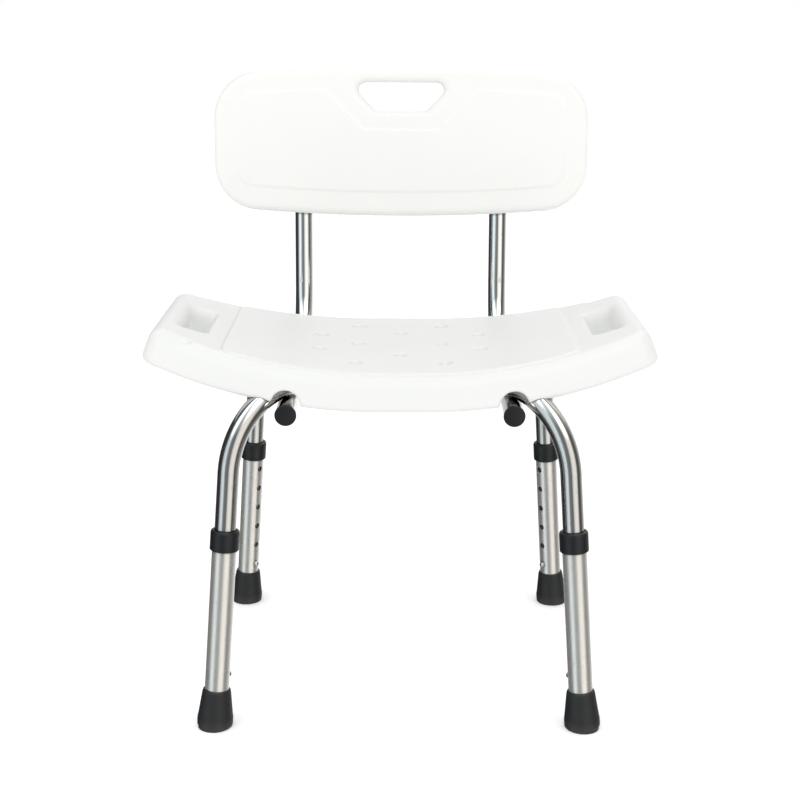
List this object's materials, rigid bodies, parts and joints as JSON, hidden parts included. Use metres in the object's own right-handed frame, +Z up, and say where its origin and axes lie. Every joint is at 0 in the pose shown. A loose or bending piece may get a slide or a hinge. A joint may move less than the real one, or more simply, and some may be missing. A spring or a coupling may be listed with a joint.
{
  "type": "shower chair",
  "caption": "White shower chair with a curved seat, hand holes, a backrest with a handle, and crossed tube legs that lengthen with push buttons.",
  "frame": {"origin": "on the floor under the middle of the overall width and depth", "axes": "+Z up, +Y from the seat's front edge to the backrest, +X along the seat's width, to the sitter's left"},
  "size_m": [0.5372, 0.4186, 0.6645],
  "materials": {
    "seat": "white blow-moulded plastic, satin",
    "backrest": "white blow-moulded plastic, satin",
    "inserts": "threaded brass",
    "rails": "polished tube",
    "plugs": "black moulded plastic",
    "leg_frames": "polished tube",
    "lower_legs": "satin tube",
    "collars": "black moulded plastic",
    "feet": "black rubber",
    "tip_washers": "plain steel",
    "snap_clips": "spring steel",
    "saddle_washers": "black moulded plastic",
    "screws": "stainless steel",
    "rivet": "plain"
  },
  "bodies": {
    "frame": {"seat": "seat", "backrest": "backrest", "seat_inserts": "inserts", "backrest_inserts": "inserts", "back_rail_left": "rails", "back_rail_right": "rails", "rail_plug_left": "plugs", "rail_plug_right": "plugs", "post_plug_left": "plugs", "post_plug_right": "plugs", "leg_frame_a": "leg_frames", "leg_frame_b": "leg_frames", "cross_rivet": "rivet", "seat_bolts": "screws", "seat_saddle_washers": "saddle_washers", "backrest_screws": "screws", "backrest_saddle_washers": "saddle_washers"},
    "leg_fl": {"lower_leg_fl": "lower_legs", "leg_collar_fl": "collars", "foot_fl": "feet", "tip_washer_fl": "tip_washers"},
    "button_fl": {"snap_clip_fl": "snap_clips"},
    "leg_fr": {"lower_leg_fr": "lower_legs", "leg_collar_fr": "collars", "foot_fr": "feet", "tip_washer_fr": "tip_washers"},
    "button_fr": {"snap_clip_fr": "snap_clips"},
    "leg_rl": {"lower_leg_rl": "lower_legs", "leg_collar_rl": "collars", "foot_rl": "feet", "tip_washer_rl": "tip_washers"},
    "button_rl": {"snap_clip_rl": "snap_clips"},
    "leg_rr": {"lower_leg_rr": "lower_legs", "leg_collar_rr": "collars", "foot_rr": "feet", "tip_washer_rr": "tip_washers"},
    "button_rr": {"snap_clip_rr": "snap_clips"}
  },
  "joints": [
    {"name": "leg_fl_slide", "type": "slide", "parent": "frame", "child": "leg_fl", "axis": [-0.0686, -0.0618, -0.9957], "range_m": [0, 0.127]},
    {"name": "button_fl_press", "type": "slide", "parent": "frame", "child": "button_fl", "axis": [-0.74, -0.6663, 0.0924], "range_m": [0, 0.006], "stiffness_N_per_m": 600, "deforming": ["snap_clip_fl"]},
    {"name": "leg_fr_slide", "type": "slide", "parent": "frame", "child": "leg_fr", "axis": [0.0686, -0.0618, -0.9957], "range_m": [0, 0.127]},
    {"name": "button_fr_press", "type": "slide", "parent": "frame", "child": "button_fr", "axis": [0.74, -0.6663, 0.0924], "range_m": [0, 0.006], "stiffness_N_per_m": 600, "deforming": ["snap_clip_fr"]},
    {"name": "leg_rl_slide", "type": "slide", "parent": "frame", "child": "leg_rl", "axis": [-0.0686, 0.0618, -0.9957], "range_m": [0, 0.127]},
    {"name": "button_rl_press", "type": "slide", "parent": "frame", "child": "button_rl", "axis": [-0.74, 0.6663, 0.0924], "range_m": [0, 0.006], "stiffness_N_per_m": 600, "deforming": ["snap_clip_rl"]},
    {"name": "leg_rr_slide", "type": "slide", "parent": "frame", "child": "leg_rr", "axis": [0.0686, 0.0618, -0.9957], "range_m": [0, 0.127]},
    {"name": "button_rr_press", "type": "slide", "parent": "frame", "child": "button_rr", "axis": [0.74, 0.6663, 0.0924], "range_m": [0, 0.006], "stiffness_N_per_m": 600, "deforming": ["snap_clip_rr"]}
  ]
}
